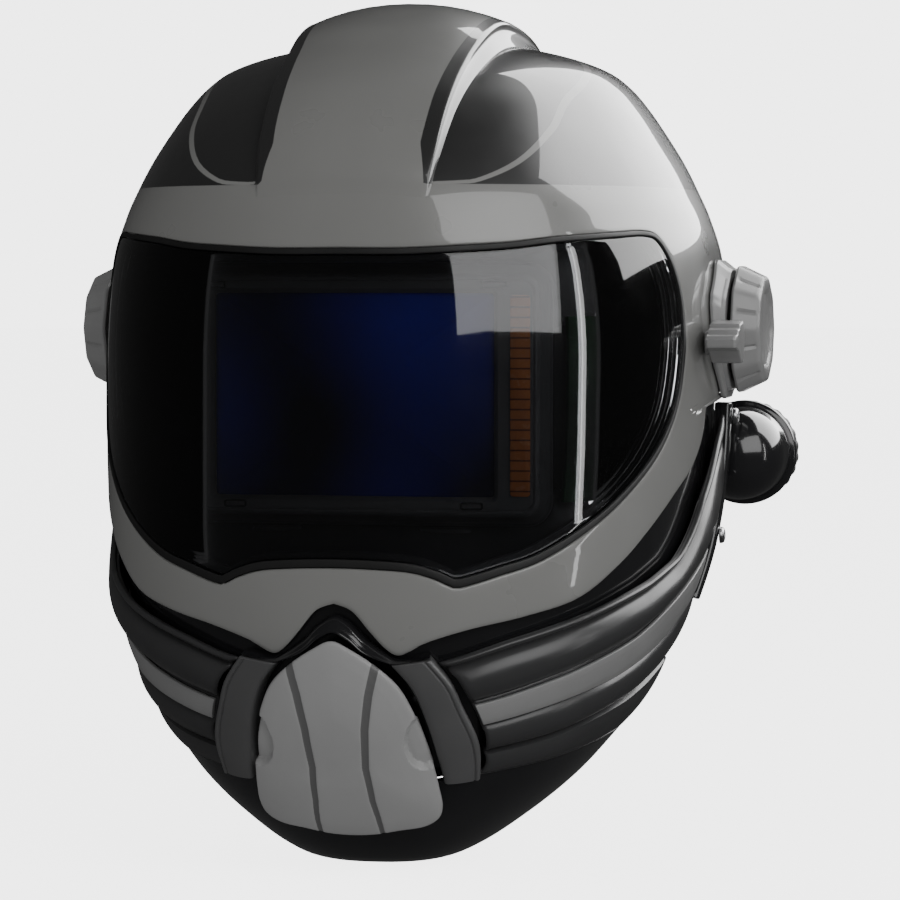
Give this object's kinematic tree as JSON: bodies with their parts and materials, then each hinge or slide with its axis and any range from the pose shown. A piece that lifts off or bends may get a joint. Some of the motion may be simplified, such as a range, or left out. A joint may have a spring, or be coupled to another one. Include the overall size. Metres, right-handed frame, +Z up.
{
  "type": "powered air respirator",
  "caption": "Welding helmet head-top for a powered air respirator: flip-up filter shield, ducted jaw with chin cover and side hose inlet, on ratchet headgear.",
  "frame": {"origin": "middle of the pivot axis through both side knobs, where the wearer's head is", "axes": "the wearer looks along -Y, +X is the wearer's left, +Z is up"},
  "size_m": [0.2583, 0.2744, 0.3059],
  "materials": {
    "shell_gray": "moulded shell in mid gray gloss paint with dark panels",
    "ridge_gray": "light gray gloss paint",
    "gloss_black": "polished black nylon",
    "jaw_gray": "dark gray satin moulding",
    "stripe_gray": "mid gray satin inlay",
    "cap_gray": "light gray satin moulding",
    "bracket_gray": "dark gray satin moulding",
    "knob_gray": "mid gray satin moulding",
    "visor_smoke": "smoked polished polycarbonate",
    "rubber_black": "black rubber",
    "matte_black": "black moulding",
    "filter_blue": "dark blue filter glass",
    "solar_brown": "amorphous solar cell",
    "filter_green": "dark green fixed filter",
    "clear_lens": "clear polycarbonate",
    "steel": "plated screw",
    "pad_fabric": "padded textile",
    "band_plastic": "flexible nylon band"
  },
  "bodies": {
    "headgear": {"headband_front": "band_plastic", "sweatband": "pad_fabric", "crown_strap_front": "band_plastic", "crown_strap_rear": "band_plastic", "headgear_arm_left": "band_plastic", "headgear_arm_right": "band_plastic", "pivot_post_left": "matte_black", "pivot_post_right": "matte_black"},
    "rear_cradle": {"rear_band": "band_plastic", "nape_pad": "pad_fabric", "ratchet_housing": "band_plastic"},
    "ratchet": {"ratchet_knob": "knob_gray"},
    "respirator": {"jaw_frame": "gloss_black", "chin_bowl": "gloss_black", "chin_hood": "gloss_black", "jaw_duct_left": "jaw_gray", "jaw_duct_right": "jaw_gray", "jaw_stripe_left": "stripe_gray", "jaw_stripe_right": "stripe_gray", "chin_bracket_left": "bracket_gray", "chin_bracket_right": "bracket_gray", "edge_strip_left": "gloss_black", "edge_strip_right": "gloss_black", "exhale_seat": "matte_black", "inner_visor": "clear_lens", "face_seal": "pad_fabric", "inlet_elbow": "gloss_black", "inlet_manifold": "gloss_black", "inlet_screw_1": "steel", "inlet_screw_2": "steel"},
    "valve_flap": {"exhale_flap": "rubber_black"},
    "chin_cover": {"chin_cap": "cap_gray"},
    "hose_swivel": {"hose_collar": "matte_black"},
    "shield": {"shield_shell": "shell_gray", "crown_ridge": "ridge_gray", "visor": "visor_smoke", "visor_seal": "rubber_black", "visor_frame": "matte_black", "filter_bezel": "matte_black", "filter_glass": "filter_blue", "filter_back": "matte_black", "inner_cover_plate": "clear_lens", "solar_cell_left": "solar_brown", "solar_cell_right": "solar_brown", "arc_sensor_1": "gloss_black", "arc_sensor_2": "gloss_black", "arc_sensor_3": "gloss_black", "arc_sensor_4": "gloss_black", "side_window_left": "filter_green", "side_window_right": "filter_green", "pivot_boss_left": "knob_gray", "pivot_boss_right": "knob_gray", "friction_ring_left": "rubber_black", "friction_ring_right": "rubber_black"},
    "lever": {"latch_lever": "knob_gray"},
    "knob_left": {"tension_knob_left": "knob_gray"},
    "knob_right": {"tension_knob_right": "knob_gray"},
    "drawer_left": {"battery_drawer_left": "matte_black"},
    "drawer_right": {"battery_drawer_right": "matte_black"}
  },
  "joints": [
    {"name": "helmet_tilt", "type": "hinge", "parent": "headgear", "child": "respirator", "pos_m": [0, 0, 0], "axis": [-1, 0, 0], "range_deg": [0, 35]},
    {"name": "shield_flip", "type": "hinge", "parent": "respirator", "child": "shield", "pos_m": [0, 0, 0], "axis": [-1, 0, 0], "range_deg": [0, 35]},
    {"name": "knob_left_turn", "type": "hinge", "parent": "headgear", "child": "knob_left", "pos_m": [0.1172, 0, 0], "axis": [1, 0, 0], "range_deg": [-180, 180]},
    {"name": "knob_right_turn", "type": "hinge", "parent": "headgear", "child": "knob_right", "pos_m": [-0.1172, 0, 0], "axis": [1, 0, 0], "range_deg": [-180, 180]},
    {"name": "latch_press", "type": "hinge", "parent": "shield", "child": "lever", "pos_m": [0.117, -0.0355, -0.0045], "axis": [1, 0, 0], "range_deg": [0, 16], "stiffness_Nm_per_rad": 0.02},
    {"name": "chin_cover_pull", "type": "slide", "parent": "respirator", "child": "chin_cover", "axis": [0, -1, 0], "range_m": [0, 0.015]},
    {"name": "exhale_open", "type": "slide", "parent": "respirator", "child": "valve_flap", "axis": [0, -1, 0], "range_m": [0, 0.0012], "stiffness_N_per_m": 5},
    {"name": "hose_swivel_turn", "type": "hinge", "parent": "respirator", "child": "hose_swivel", "pos_m": [0.1115, 0.05, -0.047], "axis": [0, 1, 0], "continuous": true},
    {"name": "rear_band_size", "type": "slide", "parent": "headgear", "child": "rear_cradle", "axis": [0, -1, 0], "range_m": [0, 0.01]},
    {"name": "ratchet_turn", "type": "hinge", "parent": "rear_cradle", "child": "ratchet", "pos_m": [0, 0.121, -0.036], "axis": [0, 1, 0], "range_deg": [0, 360]},
    {"name": "drawer_left_out", "type": "slide", "parent": "shield", "child": "drawer_left", "axis": [0, 0, -1], "range_m": [0, 0.008]},
    {"name": "drawer_right_out", "type": "slide", "parent": "shield", "child": "drawer_right", "axis": [0, 0, -1], "range_m": [0, 0.008]}
  ],
  "couplings": [
    {"joint": "ratchet_turn", "follows": "rear_band_size", "rad_per_m": 628}
  ]
}
